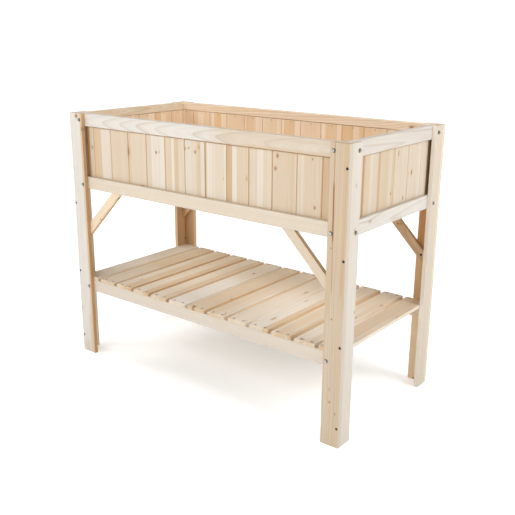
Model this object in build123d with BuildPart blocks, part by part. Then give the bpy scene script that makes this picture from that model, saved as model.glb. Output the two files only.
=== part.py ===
from build123d import *

import os

os.makedirs("parts", exist_ok=True)

# Raised planter on legs, in millimetres.
# Origin on the floor under the centre, +X along the length, -Y is the front, +Z up.

# Overall size
length = 1022.0
width = 512.0
height = 800.0

# Legs: two boards meeting at each outer corner
board_t = 13.0
face_board_w = 56.0
side_board_w = 44.0
board_ease = 1.2

# Rails of the trough and of the shelf
rail_t = 20.0
rail_h = 39.0
rail_ease = 1.0
rebate_depth = 10.0
rebate_h = 14.0
bottom_rail_z = 563.0
shelf_rail_z = 219.0

# Tongue-and-groove wall slats
slat_t = 10.0
slat_pitch = 77.2
slat_gap = 0.4
slat_v = 2.2
slat_play = 1.0
tongue_l = 4.0
tongue_half = 1.5
groove_clear = 0.3

# Shelf slats and floor boards
shelf_slat_count = 13
shelf_slat_w = 65.0
shelf_slat_t = 10.0
shelf_slat_ease = 1.2
floor_board_count = 10
floor_board_t = 10.0
floor_board_gap = 3.0
ledger_size = 20.0

# Corner braces
brace_t = 13.0
brace_w = 27.0
brace_reach = 190.0

# Hex-socket bolts and their washers
bolt_r = 2.9
bolt_l = 29.0
bolt_head_r = 4.4
bolt_head_h = 2.6
bolt_crown_r = 3.5
socket_r = 2.4
socket_depth = 2.0
washer_r = 5.2
washer_t = 1.0
bolt_hole_r = 3.05
face_bolt_inset = 46.0
side_bolt_inset = 42.0
shelf_bolt_z = 238.0
trough_bolt_z = (578.0, 780.5)

# Countersunk screws
screw_r = 1.8
screw_head_r = 3.7
screw_head_h = 2.1
screw_clear = 0.1
corner_screw_l = 38.0
corner_screw_inset = board_t / 2
corner_screw_first_z = 56.0
corner_screw_pitch = 228.5
corner_screw_count = 4
three_screw_corner = "front_left"  # this leg has no screw at the top
screw_head_angle = 82
slot_w = 0.9
brace_screw_l = 21.0
brace_screw_inset = 21.0
brace_lift_screw_l = 33.0
brace_lift_inset = 13.0
brace_lift_depth = 11.0
brace_pocket_r = 4.2
ledger_screw_l = 34.0
ledger_screw_x = (-380.0, -130.0, 130.0, 380.0)

# Nails of the shelf and the floor, pins of the wall slats
nail_r = 0.9
nail_head_r = 2.0
nail_head_h = 0.8
nail_l = 30.0
nail_clear = 0.1
shelf_nail_spread = 17.0
floor_nail_l = 24.0
floor_nail_spread = 27.0
pin_r = 0.7
pin_head_r = 1.4
pin_head_h = 0.6
pin_l = 16.0

# Planes shared by the pieces
half_l = length / 2
half_w = width / 2
inner_x = half_l - board_t
inner_y = half_w - board_t
wall_x = inner_x - rail_t
wall_y = inner_y - rail_t
top_rail_z = height - rail_h
slat_low = bottom_rail_z + rail_h - rebate_h
slat_high = top_rail_z + rebate_h - slat_play
shelf_z = shelf_rail_z + rail_h
ledger_z = bottom_rail_z
floor_z = ledger_z + ledger_size

face_bolt_x = half_l - face_bolt_inset
side_bolt_y = half_w - side_bolt_inset
corner_screw_x = half_l - corner_screw_inset
face_bolt_z = (shelf_bolt_z,) + trough_bolt_z

# A brace runs at 45 degrees from the side board up to the underside of the bottom rail
brace_cut = brace_w * 2**0.5
brace_low_z = bottom_rail_z - brace_reach
brace_rail_x = inner_x - brace_reach
brace_screw_x = inner_x - brace_screw_inset
brace_screw_z = brace_low_z + brace_screw_inset + brace_cut / 2
brace_lift_x = brace_rail_x + brace_lift_inset
brace_lift_z = bottom_rail_z - brace_lift_depth

shelf_pitch = (2 * inner_x - shelf_slat_w) / (shelf_slat_count - 1)
shelf_slat_xs = [(k - (shelf_slat_count - 1) / 2) * shelf_pitch for k in range(shelf_slat_count)]
floor_pitch = 2 * wall_x / floor_board_count
floor_board_xs = [(k - (floor_board_count - 1) / 2) * floor_pitch for k in range(floor_board_count)]
floor_board_w = floor_pitch - floor_board_gap
nail_y = inner_y - rail_t / 2
floor_nail_y = wall_y - ledger_size / 2

corners = {
    "front_left": (-1, -1),
    "front_right": (1, -1),
    "back_left": (-1, 1),
    "back_right": (1, 1),
}
long_sides = {"front": -1, "back": 1}
short_sides = {"left": -1, "right": 1}


def save(builder, name):
    """Label one finished piece and write its STEP file."""
    builder.part.label = name
    export_step(builder.part, f"parts/{name}.step")


def across_y(y):
    """Sketch plane at one Y, with sketch axes X and Z and its normal towards -Y."""
    return Plane.XZ.offset(-y)


def across_x(x):
    """Sketch plane at one X, with sketch axes Y and Z and its normal towards +X."""
    return Plane.YZ.offset(x)


def outward_y(x, y, z, side):
    """Placement on a long side, its own Z pointing away from the planter."""
    return Plane(origin=(x, y, z), x_dir=(1, 0, 0), z_dir=(0, side, 0))


def outward_x(x, y, z, side):
    """Placement on a short side, its own Z pointing away from the planter."""
    return Plane(origin=(x, y, z), x_dir=(0, 1, 0), z_dir=(side, 0, 0))


def corner_heights(corner):
    """Heights of the screws that join one leg's two boards."""
    count = corner_screw_count - (corner == three_screw_corner)
    return [corner_screw_first_z + k * corner_screw_pitch for k in range(count)]


def countersink(depth):
    """Clearance hole for a flat-head screw, cut where the open part's locations are."""
    CounterSinkHole(
        screw_r + screw_clear,
        screw_head_r + screw_clear,
        depth=depth,
        counter_sink_angle=screw_head_angle,
    )


def slat_edges(low, high):
    """Spans of the slats that fill a wall from its high end, the last one trimmed to fit."""
    spans = []
    end = high
    while end > low:
        start = max(end - slat_pitch, low)
        spans.append((start + slat_gap / 2, end - slat_gap / 2))
        end = start
    return spans


def slat_outline(span, first, last):
    """Cross-section of one slat: u along the wall, v from its outer face inwards."""
    low, high = span
    middle = slat_t / 2
    groove_half = tongue_half + groove_clear
    groove_l = tongue_l + groove_clear
    points = [(low + slat_v, 0), (high - slat_v, 0), (high, slat_v)]
    if not first:
        points += [
            (high, middle - tongue_half),
            (high + tongue_l, middle - tongue_half),
            (high + tongue_l, middle + tongue_half),
            (high, middle + tongue_half),
        ]
    points += [(high, slat_t), (low, slat_t)]
    if not last:
        points += [
            (low, middle + groove_half),
            (low + groove_l, middle + groove_half),
            (low + groove_l, middle - groove_half),
            (low, middle - groove_half),
        ]
    points += [(low, slat_v)]
    return points


front_spans = slat_edges(-inner_x, inner_x)
side_spans = slat_edges(-wall_y, wall_y)
front_pins = [(low + high) / 2 for low, high in front_spans]
side_pins = [-(low + high) / 2 for low, high in side_spans]
pin_zs = (slat_low + rebate_h / 2, top_rail_z + rebate_h / 2)


# Legs -------------------------------------------------------------------------------------------

for corner, (sx, sy) in corners.items():
    with BuildPart() as face_board:
        with BuildSketch(Plane.XY):
            with Locations((sx * (half_l - face_board_w / 2), sy * (half_w - board_t / 2))):
                Rectangle(face_board_w, board_t)
        extrude(amount=height)
        fillet(face_board.edges().filter_by(Axis.Z), board_ease)
        with BuildSketch(across_y(sy * half_w)):
            with Locations(*[(sx * face_bolt_x, z) for z in face_bolt_z]):
                Circle(bolt_hole_r)
        extrude(amount=sy * board_t, mode=Mode.SUBTRACT)
        heights = corner_heights(corner)
        with Locations(*[outward_y(sx * corner_screw_x, sy * half_w, z, sy) for z in heights]):
            countersink(board_t)
        with BuildSketch(across_y(sy * inner_y)):
            with Locations((sx * brace_screw_x, brace_screw_z)):
                Circle(screw_r + screw_clear)
        extrude(amount=-sy * (brace_screw_l - brace_t + 1), mode=Mode.SUBTRACT)
    save(face_board, f"leg_{corner}_face_board")

    with BuildPart() as side_board:
        with BuildSketch(Plane.XY):
            with Locations((sx * (half_l - board_t / 2), sy * (inner_y - side_board_w / 2))):
                Rectangle(board_t, side_board_w)
        extrude(amount=height)
        fillet(side_board.edges().filter_by(Axis.Z), board_ease)
        with BuildSketch(across_x(sx * half_l)):
            with Locations(*[(sy * side_bolt_y, z) for z in trough_bolt_z]):
                Circle(bolt_hole_r)
        extrude(amount=-sx * board_t, mode=Mode.SUBTRACT)
        with BuildSketch(across_y(sy * inner_y)):
            with Locations(*[(sx * corner_screw_x, z) for z in corner_heights(corner)]):
                Circle(screw_r + screw_clear)
        extrude(amount=sy * (corner_screw_l - board_t + 1), mode=Mode.SUBTRACT)
    save(side_board, f"leg_{corner}_side_board")


# Rails along the length -------------------------------------------------------------------------

for side, sy in long_sides.items():
    outer = sy * inner_y
    lip = sy * (inner_y - rebate_depth)
    inner = sy * wall_y

    with BuildPart() as top_rail:
        with BuildSketch(across_x(-inner_x)):
            with BuildLine():
                Polyline(
                    (outer, top_rail_z),
                    (outer, height),
                    (inner, height),
                    (inner, top_rail_z + rebate_h),
                    (lip, top_rail_z + rebate_h),
                    (lip, top_rail_z),
                    close=True,
                )
            make_face()
        extrude(amount=2 * inner_x)
        long_edges = top_rail.edges().filter_by(Axis.X).group_by(Axis.Y)
        chamfer(long_edges[0] + long_edges[-1], rail_ease)
        with BuildSketch(across_y(outer)):
            with Locations(*[(sx * face_bolt_x, trough_bolt_z[1]) for sx in (-1, 1)]):
                Circle(bolt_hole_r)
        extrude(amount=sy * (bolt_l - board_t), mode=Mode.SUBTRACT)
        with BuildSketch(across_y(lip)):
            with Locations(*[(x, pin_zs[1]) for x in front_pins]):
                Circle(pin_r + nail_clear)
        extrude(amount=-sy * (pin_l - slat_t + 1), mode=Mode.SUBTRACT)
    save(top_rail, f"rail_top_{side}")

    with BuildPart() as bottom_rail:
        with BuildSketch(across_x(-inner_x)):
            with BuildLine():
                Polyline(
                    (outer, bottom_rail_z),
                    (outer, bottom_rail_z + rail_h),
                    (lip, bottom_rail_z + rail_h),
                    (lip, slat_low),
                    (inner, slat_low),
                    (inner, bottom_rail_z),
                    close=True,
                )
            make_face()
        extrude(amount=2 * inner_x)
        long_edges = bottom_rail.edges().filter_by(Axis.X).group_by(Axis.Y)
        chamfer(long_edges[0] + long_edges[-1], rail_ease)
        with BuildSketch(across_y(outer)):
            with Locations(*[(sx * face_bolt_x, trough_bolt_z[0]) for sx in (-1, 1)]):
                Circle(bolt_hole_r)
        extrude(amount=sy * (bolt_l - board_t), mode=Mode.SUBTRACT)
        with BuildSketch(across_y(lip)):
            with Locations(*[(x, pin_zs[0]) for x in front_pins]):
                Circle(pin_r + nail_clear)
        extrude(amount=-sy * (pin_l - slat_t + 1), mode=Mode.SUBTRACT)
        with BuildSketch(across_y(inner)):
            with Locations(*[(x, ledger_z + ledger_size / 2) for x in ledger_screw_x]):
                Circle(screw_r + screw_clear)
        extrude(amount=-sy * (ledger_screw_l - ledger_size + 1), mode=Mode.SUBTRACT)
        with BuildSketch(Plane.XY.offset(bottom_rail_z)):
            with Locations(*[(sx * brace_lift_x, sy * (inner_y - brace_t / 2)) for sx in (-1, 1)]):
                Circle(screw_r + screw_clear)
        extrude(amount=brace_lift_screw_l - (bottom_rail_z - brace_lift_z) + 1, mode=Mode.SUBTRACT)
    save(bottom_rail, f"rail_bottom_{side}")

    with BuildPart() as shelf_rail:
        with BuildSketch(across_x(-inner_x)):
            with Locations((sy * (inner_y - rail_t / 2), shelf_rail_z + rail_h / 2)):
                Rectangle(rail_t, rail_h)
        extrude(amount=2 * inner_x)
        chamfer(shelf_rail.edges().filter_by(Axis.X), rail_ease)
        with BuildSketch(across_y(outer)):
            with Locations(*[(sx * face_bolt_x, shelf_bolt_z) for sx in (-1, 1)]):
                Circle(bolt_hole_r)
        extrude(amount=sy * (bolt_l - board_t), mode=Mode.SUBTRACT)
        with BuildSketch(Plane.XY.offset(shelf_z)):
            nail_xs = [x + s * shelf_nail_spread for x in shelf_slat_xs for s in (-1, 1)]
            with Locations(*[(x, sy * nail_y) for x in nail_xs]):
                Circle(nail_r + nail_clear)
        extrude(amount=-(nail_l - shelf_slat_t + 1), mode=Mode.SUBTRACT)
    save(shelf_rail, f"shelf_rail_{side}")


# Rails across the ends --------------------------------------------------------------------------

for side, sx in short_sides.items():
    outer = sx * inner_x
    lip = sx * (inner_x - rebate_depth)
    inner = sx * wall_x

    with BuildPart() as top_rail:
        with BuildSketch(across_y(wall_y)):
            with BuildLine():
                Polyline(
                    (outer, top_rail_z),
                    (outer, height),
                    (inner, height),
                    (inner, top_rail_z + rebate_h),
                    (lip, top_rail_z + rebate_h),
                    (lip, top_rail_z),
                    close=True,
                )
            make_face()
        extrude(amount=2 * wall_y)
        long_edges = top_rail.edges().filter_by(Axis.Y).group_by(Axis.X)
        chamfer(long_edges[0] + long_edges[-1], rail_ease)
        with BuildSketch(across_x(outer)):
            with Locations(*[(sy * side_bolt_y, trough_bolt_z[1]) for sy in (-1, 1)]):
                Circle(bolt_hole_r)
        extrude(amount=-sx * (bolt_l - board_t), mode=Mode.SUBTRACT)
        with BuildSketch(across_x(lip)):
            with Locations(*[(y, pin_zs[1]) for y in side_pins]):
                Circle(pin_r + nail_clear)
        extrude(amount=sx * (pin_l - slat_t + 1), mode=Mode.SUBTRACT)
    save(top_rail, f"rail_top_{side}")

    with BuildPart() as bottom_rail:
        with BuildSketch(across_y(wall_y)):
            with BuildLine():
                Polyline(
                    (outer, bottom_rail_z),
                    (outer, bottom_rail_z + rail_h),
                    (lip, bottom_rail_z + rail_h),
                    (lip, slat_low),
                    (inner, slat_low),
                    (inner, bottom_rail_z),
                    close=True,
                )
            make_face()
        extrude(amount=2 * wall_y)
        long_edges = bottom_rail.edges().filter_by(Axis.Y).group_by(Axis.X)
        chamfer(long_edges[0] + long_edges[-1], rail_ease)
        with BuildSketch(across_x(outer)):
            with Locations(*[(sy * side_bolt_y, trough_bolt_z[0]) for sy in (-1, 1)]):
                Circle(bolt_hole_r)
        extrude(amount=-sx * (bolt_l - board_t), mode=Mode.SUBTRACT)
        with BuildSketch(across_x(lip)):
            with Locations(*[(y, pin_zs[0]) for y in side_pins]):
                Circle(pin_r + nail_clear)
        extrude(amount=sx * (pin_l - slat_t + 1), mode=Mode.SUBTRACT)
    save(bottom_rail, f"rail_bottom_{side}")


# Wall slats -------------------------------------------------------------------------------------

for side, sy in long_sides.items():
    with BuildPart() as wall_slats:
        with BuildSketch(Plane.XY.offset(slat_low)):
            for k, span in enumerate(front_spans):
                outline = slat_outline(span, k == 0, k == len(front_spans) - 1)
                with BuildLine():
                    Polyline(*[(u, sy * (inner_y - rebate_depth - v)) for u, v in outline], close=True)
                make_face()
        extrude(amount=slat_high - slat_low)
        with Locations(*[outward_y(x, sy * wall_y, z, -sy) for x in front_pins for z in pin_zs]):
            CounterBoreHole(pin_r + nail_clear, pin_head_r + nail_clear, pin_head_h, depth=slat_t)
    save(wall_slats, f"wall_slats_{side}")

for side, sx in short_sides.items():
    with BuildPart() as wall_slats:
        with BuildSketch(Plane.XY.offset(slat_low)):
            for k, span in enumerate(side_spans):
                outline = slat_outline(span, k == 0, k == len(side_spans) - 1)
                with BuildLine():
                    Polyline(*[(sx * (inner_x - rebate_depth - v), -u) for u, v in outline], close=True)
                make_face()
        extrude(amount=slat_high - slat_low)
        with Locations(*[outward_x(sx * wall_x, y, z, -sx) for y in side_pins for z in pin_zs]):
            CounterBoreHole(pin_r + nail_clear, pin_head_r + nail_clear, pin_head_h, depth=slat_t)
    save(wall_slats, f"wall_slats_{side}")


# Braces -----------------------------------------------------------------------------------------

for corner, (sx, sy) in corners.items():
    with BuildPart() as brace:
        with BuildSketch(across_y(sy * inner_y)):
            with BuildLine():
                Polyline(
                    (sx * brace_rail_x, bottom_rail_z),
                    (sx * (brace_rail_x + brace_cut), bottom_rail_z),
                    (sx * inner_x, brace_low_z + brace_cut),
                    (sx * inner_x, brace_low_z),
                    close=True,
                )
            make_face()
        extrude(amount=sy * brace_t)
        with Locations(outward_y(sx * brace_screw_x, sy * (inner_y - brace_t), brace_screw_z, -sy)):
            countersink(brace_t)
        with BuildSketch(Plane.XY.offset(bottom_rail_z)):
            with Locations((sx * brace_lift_x, sy * (inner_y - brace_t / 2))):
                Circle(screw_r + screw_clear)
        extrude(amount=-(bottom_rail_z - brace_lift_z), mode=Mode.SUBTRACT)
        with BuildSketch(Plane.XY.offset(brace_lift_z)):
            with Locations((sx * brace_lift_x, sy * (inner_y - brace_t / 2))):
                Circle(brace_pocket_r)
        extrude(amount=-brace_cut, mode=Mode.SUBTRACT)
    save(brace, f"brace_{corner}")


# Shelf slats ------------------------------------------------------------------------------------

for number, x in enumerate(shelf_slat_xs, start=1):
    with BuildPart() as shelf_slat:
        with BuildSketch(Plane.XY.offset(shelf_z)):
            with Locations((x, 0)):
                Rectangle(shelf_slat_w, 2 * inner_y)
        extrude(amount=shelf_slat_t)
        fillet(shelf_slat.edges().group_by(Axis.Z)[-1], shelf_slat_ease)
        with Locations(
            *[
                (x + s * shelf_nail_spread, sy * nail_y, shelf_z + shelf_slat_t)
                for s in (-1, 1)
                for sy in (-1, 1)
            ]
        ):
            CounterBoreHole(nail_r + nail_clear, nail_head_r + nail_clear, nail_head_h, depth=shelf_slat_t)
    save(shelf_slat, f"shelf_slat_{number:02d}")


# Floor of the trough ----------------------------------------------------------------------------

for side, sy in long_sides.items():
    with BuildPart() as ledger:
        with BuildSketch(across_x(-wall_x)):
            with Locations((sy * (wall_y - ledger_size / 2), ledger_z + ledger_size / 2)):
                Rectangle(ledger_size, ledger_size)
        extrude(amount=2 * wall_x)
        chamfer(ledger.edges().filter_by(Axis.X), rail_ease)
        with Locations(
            *[
                outward_y(x, sy * (wall_y - ledger_size), ledger_z + ledger_size / 2, -sy)
                for x in ledger_screw_x
            ]
        ):
            countersink(ledger_size)
        with BuildSketch(Plane.XY.offset(floor_z)):
            with Locations(
                *[(x + s * floor_nail_spread, sy * floor_nail_y) for x in floor_board_xs for s in (-1, 1)]
            ):
                Circle(nail_r + nail_clear)
        extrude(amount=-(floor_nail_l - floor_board_t + 1), mode=Mode.SUBTRACT)
    save(ledger, f"floor_ledger_{side}")

for number, x in enumerate(floor_board_xs, start=1):
    with BuildPart() as floor_board:
        with BuildSketch(Plane.XY.offset(floor_z)):
            with Locations((x, 0)):
                Rectangle(floor_board_w, 2 * wall_y)
        extrude(amount=floor_board_t)
        with Locations(
            *[
                (x + s * floor_nail_spread, sy * floor_nail_y, floor_z + floor_board_t)
                for s in (-1, 1)
                for sy in (-1, 1)
            ]
        ):
            CounterBoreHole(nail_r + nail_clear, nail_head_r + nail_clear, nail_head_h, depth=floor_board_t)
    save(floor_board, f"floor_board_{number:02d}")


# Fasteners --------------------------------------------------------------------------------------

bolt_places = [
    outward_y(sx * face_bolt_x, sy * half_w, z, sy) for sx, sy in corners.values() for z in face_bolt_z
]
bolt_places += [
    outward_x(sx * half_l, sy * side_bolt_y, z, sx) for sx, sy in corners.values() for z in trough_bolt_z
]
on_top = (Align.CENTER, Align.CENTER, Align.MIN)
below = (Align.CENTER, Align.CENTER, Align.MAX)

with BuildPart() as bolt_washers:
    with Locations(*bolt_places):
        Cylinder(washer_r, washer_t, align=on_top)
        Cylinder(bolt_hole_r, washer_t, align=on_top, mode=Mode.SUBTRACT)
save(bolt_washers, "bolt_washers")

with BuildPart() as leg_bolts:
    for place in bolt_places:
        with Locations(place):
            Cylinder(bolt_r, bolt_l, align=below)
            Cylinder(bolt_r, washer_t, align=on_top)
        with Locations(place.offset(washer_t)):
            Cylinder(bolt_head_r, bolt_head_h / 2, align=on_top)
        with Locations(place.offset(washer_t + bolt_head_h / 2)):
            Cone(bolt_head_r, bolt_crown_r, bolt_head_h / 2, align=on_top)
        with BuildSketch(place.offset(washer_t + bolt_head_h)):
            RegularPolygon(socket_r, 6)
        extrude(amount=-socket_depth, mode=Mode.SUBTRACT)
save(leg_bolts, "leg_bolts")


def countersunk_screws(places, shank_l):
    """A group of flat-head screws, each head flush with the plane it is placed on."""
    with BuildPart() as screws:
        for place in places:
            with Locations(place.offset(-screw_head_h)):
                Cone(screw_r, screw_head_r, screw_head_h, align=on_top)
                Cylinder(screw_r, shank_l - screw_head_h, align=below)
            with Locations(place):
                Box(screw_head_r, slot_w, screw_head_h / 2, align=below, mode=Mode.SUBTRACT)
                Box(slot_w, screw_head_r, screw_head_h / 2, align=below, mode=Mode.SUBTRACT)
    return screws


corner_screws = countersunk_screws(
    [
        outward_y(sx * corner_screw_x, sy * half_w, z, sy)
        for corner, (sx, sy) in corners.items()
        for z in corner_heights(corner)
    ],
    corner_screw_l,
)
save(corner_screws, "corner_screws")

brace_foot_screws = countersunk_screws(
    [
        outward_y(sx * brace_screw_x, sy * (inner_y - brace_t), brace_screw_z, -sy)
        for sx, sy in corners.values()
    ],
    brace_screw_l,
)
save(brace_foot_screws, "brace_foot_screws")

brace_head_screws = countersunk_screws(
    [
        Plane(
            origin=(sx * brace_lift_x, sy * (inner_y - brace_t / 2), brace_lift_z - screw_head_h),
            x_dir=(1, 0, 0),
            z_dir=(0, 0, -1),
        )
        for sx, sy in corners.values()
    ],
    brace_lift_screw_l,
)
save(brace_head_screws, "brace_head_screws")

ledger_screws = countersunk_screws(
    [
        outward_y(x, sy * (wall_y - ledger_size), ledger_z + ledger_size / 2, -sy)
        for sy in (-1, 1)
        for x in ledger_screw_x
    ],
    ledger_screw_l,
)
save(ledger_screws, "ledger_screws")

with BuildPart() as shelf_nails:
    for x in shelf_slat_xs:
        with Locations(
            *[
                (x + s * shelf_nail_spread, sy * nail_y, shelf_z + shelf_slat_t)
                for s in (-1, 1)
                for sy in (-1, 1)
            ]
        ):
            Cylinder(nail_r, nail_l, align=below)
            Cylinder(nail_head_r, nail_head_h, align=below)
save(shelf_nails, "shelf_nails")

with BuildPart() as floor_nails:
    for x in floor_board_xs:
        with Locations(
            *[
                (x + s * floor_nail_spread, sy * floor_nail_y, floor_z + floor_board_t)
                for s in (-1, 1)
                for sy in (-1, 1)
            ]
        ):
            Cylinder(nail_r, floor_nail_l, align=below)
            Cylinder(nail_head_r, nail_head_h, align=below)
save(floor_nails, "floor_nails")

pin_places = [
    outward_y(x, sy * wall_y, z, -sy) for sy in (-1, 1) for x in front_pins for z in pin_zs
]
pin_places += [
    outward_x(sx * wall_x, y, z, -sx) for sx in (-1, 1) for y in side_pins for z in pin_zs
]

with BuildPart() as wall_pins:
    with Locations(*pin_places):
        Cylinder(pin_r, pin_l, align=below)
        Cylinder(pin_head_r, pin_head_h, align=below)
save(wall_pins, "wall_pins")
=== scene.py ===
import math
import random

import bpy
from mathutils import Matrix, Vector


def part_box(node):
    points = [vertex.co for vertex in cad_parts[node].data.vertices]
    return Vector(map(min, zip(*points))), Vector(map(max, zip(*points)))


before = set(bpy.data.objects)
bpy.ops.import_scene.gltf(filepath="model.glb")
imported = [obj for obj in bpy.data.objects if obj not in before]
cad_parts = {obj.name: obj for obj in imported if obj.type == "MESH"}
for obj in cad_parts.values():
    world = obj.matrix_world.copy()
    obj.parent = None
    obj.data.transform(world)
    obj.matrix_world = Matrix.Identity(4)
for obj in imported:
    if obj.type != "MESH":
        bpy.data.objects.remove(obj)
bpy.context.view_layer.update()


def centre_of(node):
    low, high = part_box(node)
    return [(a + b) / 2 for a, b in zip(low, high)]


MM = 0.001
PITCH = 77.2 * MM  # width one wall slat covers
HALF_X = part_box("leg_front_right_side_board")[0][0]  # inner faces of the legs' side boards
HALF_Y = -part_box("rail_top_front")[1][1]  # inner faces of the long rails
NAIL_Y = -centre_of("shelf_rail_front")[1]  # the shelf's nails, from the middle of the shelf
NAIL_SPREAD = 17 * MM  # and from the middle of their slat


# ---------------------------------------------------------------- node helpers


class Tree:
    """Short calls for building a node tree."""

    def __init__(self, tree):
        self.tree = tree
        self.nodes = tree.nodes
        self.links = tree.links

    def plug(self, socket, value):
        if isinstance(value, bpy.types.NodeSocket):
            self.links.new(value, socket)
        elif value is not None:
            socket.default_value = value

    def new(self, kind, inputs=None, **settings):
        node = self.nodes.new(kind)
        for key, value in settings.items():
            setattr(node, key, value)
        for key, value in (inputs or {}).items():
            self.plug(node.inputs[key], value)
        return node

    def math(self, operation, a, b=None, clamp=False):
        node = self.new("ShaderNodeMath", operation=operation, use_clamp=clamp)
        for socket, value in zip(node.inputs, (a, b)):
            self.plug(socket, value)
        return node.outputs[0]

    def total(self, *values):
        """The sum of some values."""
        result = values[0]
        for value in values[1:]:
            result = self.math("ADD", result, value)
        return result

    def vec(self, operation, a, b=None):
        node = self.new("ShaderNodeVectorMath", operation=operation)
        self.plug(node.inputs[0], a)
        self.plug(node.inputs["Scale" if operation == "SCALE" else 1], b)
        return node.outputs["Value" if operation == "LENGTH" else "Vector"]

    def split(self, vector):
        return self.new("ShaderNodeSeparateXYZ", {0: vector}).outputs

    def join(self, x, y, z):
        return self.new("ShaderNodeCombineXYZ", {0: x, 1: y, 2: z}).outputs[0]

    def noise(self, vector, scale, detail=2.0, rough=0.5):
        inputs = {"Vector": vector, "Scale": scale, "Detail": detail, "Roughness": rough}
        return self.new("ShaderNodeTexNoise", inputs, noise_dimensions="3D").outputs["Fac"]

    def line_noise(self, value, detail):
        """Noise along a single number."""
        inputs = {"W": value, "Detail": detail}
        return self.new("ShaderNodeTexNoise", inputs, noise_dimensions="1D").outputs["Fac"]

    def white(self, seed):
        return self.new("ShaderNodeTexWhiteNoise", {"W": seed}, noise_dimensions="1D").outputs

    def draws(self, seed):
        """Three numbers between 0 and 1, drawn by lot."""
        return self.new("ShaderNodeSeparateColor", {0: self.white(seed)["Color"]}).outputs

    def step(self, value, low, high, kind="SMOOTHSTEP", to=(0.0, 1.0)):
        inputs = {"Value": value, "From Min": low, "From Max": high, "To Min": to[0], "To Max": to[1]}
        return self.new("ShaderNodeMapRange", inputs, interpolation_type=kind).outputs["Result"]

    def between(self, value, low, high, soft):
        """1 where value lies between low and high, fading over soft outside them."""
        rise, fall = self.step(value, low - soft, low), self.step(value, high + soft, high)
        return self.math("MULTIPLY", rise, fall)

    def mix(self, factor, a, b, blend="MIX"):
        node = self.new("ShaderNodeMix", data_type="RGBA", blend_type=blend)
        for number, value in ((0, factor), (6, a), (7, b)):
            self.plug(node.inputs[number], value)
        return node.outputs[2]

    def tinted(self, colour, tint):
        return self.mix(1.0, colour, tint, "MULTIPLY")


def group_tree(name, inputs, outputs):
    tree = bpy.data.node_groups.new(name, "ShaderNodeTree")
    for kind, sockets in (("INPUT", inputs), ("OUTPUT", outputs)):
        for label, what in sockets:
            tree.interface.new_socket(label, in_out=kind, socket_type=f"NodeSocket{what}")
    t = Tree(tree)
    return t, t.new("NodeGroupInput").outputs, t.new("NodeGroupOutput").inputs


def new_material(name):
    """An empty material with a shader in it."""
    material = bpy.data.materials.new(name)
    material.use_nodes = True
    t = Tree(material.node_tree)
    t.nodes.clear()
    shader = t.new("ShaderNodeBsdfPrincipled")
    t.new("ShaderNodeOutputMaterial", {"Surface": shader.outputs[0]})
    return material, t, shader


def dress(node, material):
    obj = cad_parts[node]
    for slot in obj.material_slots:
        slot.material = material
    if not obj.material_slots:
        obj.data.materials.append(material)


# ---------------------------------------------------------------- fir

# A board's own grain space is (along the grain, across its face, into its thickness)
LAYS = {
    "x_z": ("X", "Z", "Y"),  # rails, their faces looking along Y
    "y_z": ("Y", "Z", "X"),  # rails, their faces looking along X
    "z_x": ("Z", "X", "Y"),  # uprights facing along Y
    "z_y": ("Z", "Y", "X"),  # uprights facing along X
    "y_x": ("Y", "X", "Z"),  # slats that lie flat
}
SLANTS = {"rising": 1.0, "falling": -1.0}  # braces, by which way they run towards +X
SLANT = math.sqrt(0.5)  # they stand at 45 degrees


def lie(t, vector, lay):
    """The parts of a vector in the board's own grain space."""
    parts = dict(zip("XYZ", t.split(vector)))
    if lay in LAYS:
        return [parts[letter] for letter in LAYS[lay]]
    x = t.math("MULTIPLY", parts["X"], SLANT)
    z = t.math("MULTIPLY", parts["Z"], SLANT * SLANTS[lay])
    return [t.math("ADD", x, z), t.math("SUBTRACT", z, x), parts["Y"]]


def lie_point(point, lay):
    """The same for one fixed point."""
    parts = dict(zip("XYZ", point))
    if lay in LAYS:
        return [parts[letter] for letter in LAYS[lay]]
    x, z = parts["X"] * SLANT, parts["Z"] * SLANT * SLANTS[lay]
    return [x + z, z - x, parts["Y"]]


def knot_group():
    """One knot through the board's thickness, added to the masks that come in."""
    t, i, o = group_tree(
        "knot",
        (("Place", "Vector"), ("At", "Vector"), ("Radius", "Float"), ("Stretch", "Float"),
         ("Dark", "Float"), ("Core", "Float"), ("Rim", "Float"), ("Bend", "Float")),
        (("Core", "Float"), ("Rim", "Float"), ("Bend", "Float")),
    )
    away = t.split(t.vec("SUBTRACT", i["Place"], i["At"]))
    along = t.math("DIVIDE", away[0], i["Stretch"])
    far = t.math("DIVIDE", t.vec("LENGTH", t.join(along, away[1], 0.0)), i["Radius"])
    ragged = t.math("SUBTRACT", t.noise(i["Place"], 420.0, 2.0), 0.5)
    far = t.math("ADD", far, t.math("MULTIPLY", ragged, 0.8))
    core = t.math("MULTIPLY", t.step(far, 1.0, 0.5), i["Dark"])
    rim = t.math("MULTIPLY", t.step(far, 2.1, 0.8), i["Dark"])

    # The grain flows round the knot, further along the board than across it
    wide = t.vec("LENGTH", t.join(t.math("MULTIPLY", along, 0.45), away[1], 0.0))
    sharp = t.math("POWER", t.math("DIVIDE", wide, t.math("MULTIPLY", i["Radius"], 2.6)), 2.0)
    bend = t.math("DIVIDE", t.math("MULTIPLY", i["Radius"], 2.2), t.math("ADD", sharp, 1.0))
    t.plug(o["Core"], t.math("MAXIMUM", i["Core"], core))
    t.plug(o["Rim"], t.math("MAXIMUM", i["Rim"], rim))
    t.plug(o["Bend"], t.math("ADD", i["Bend"], bend))
    return t.tree


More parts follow.
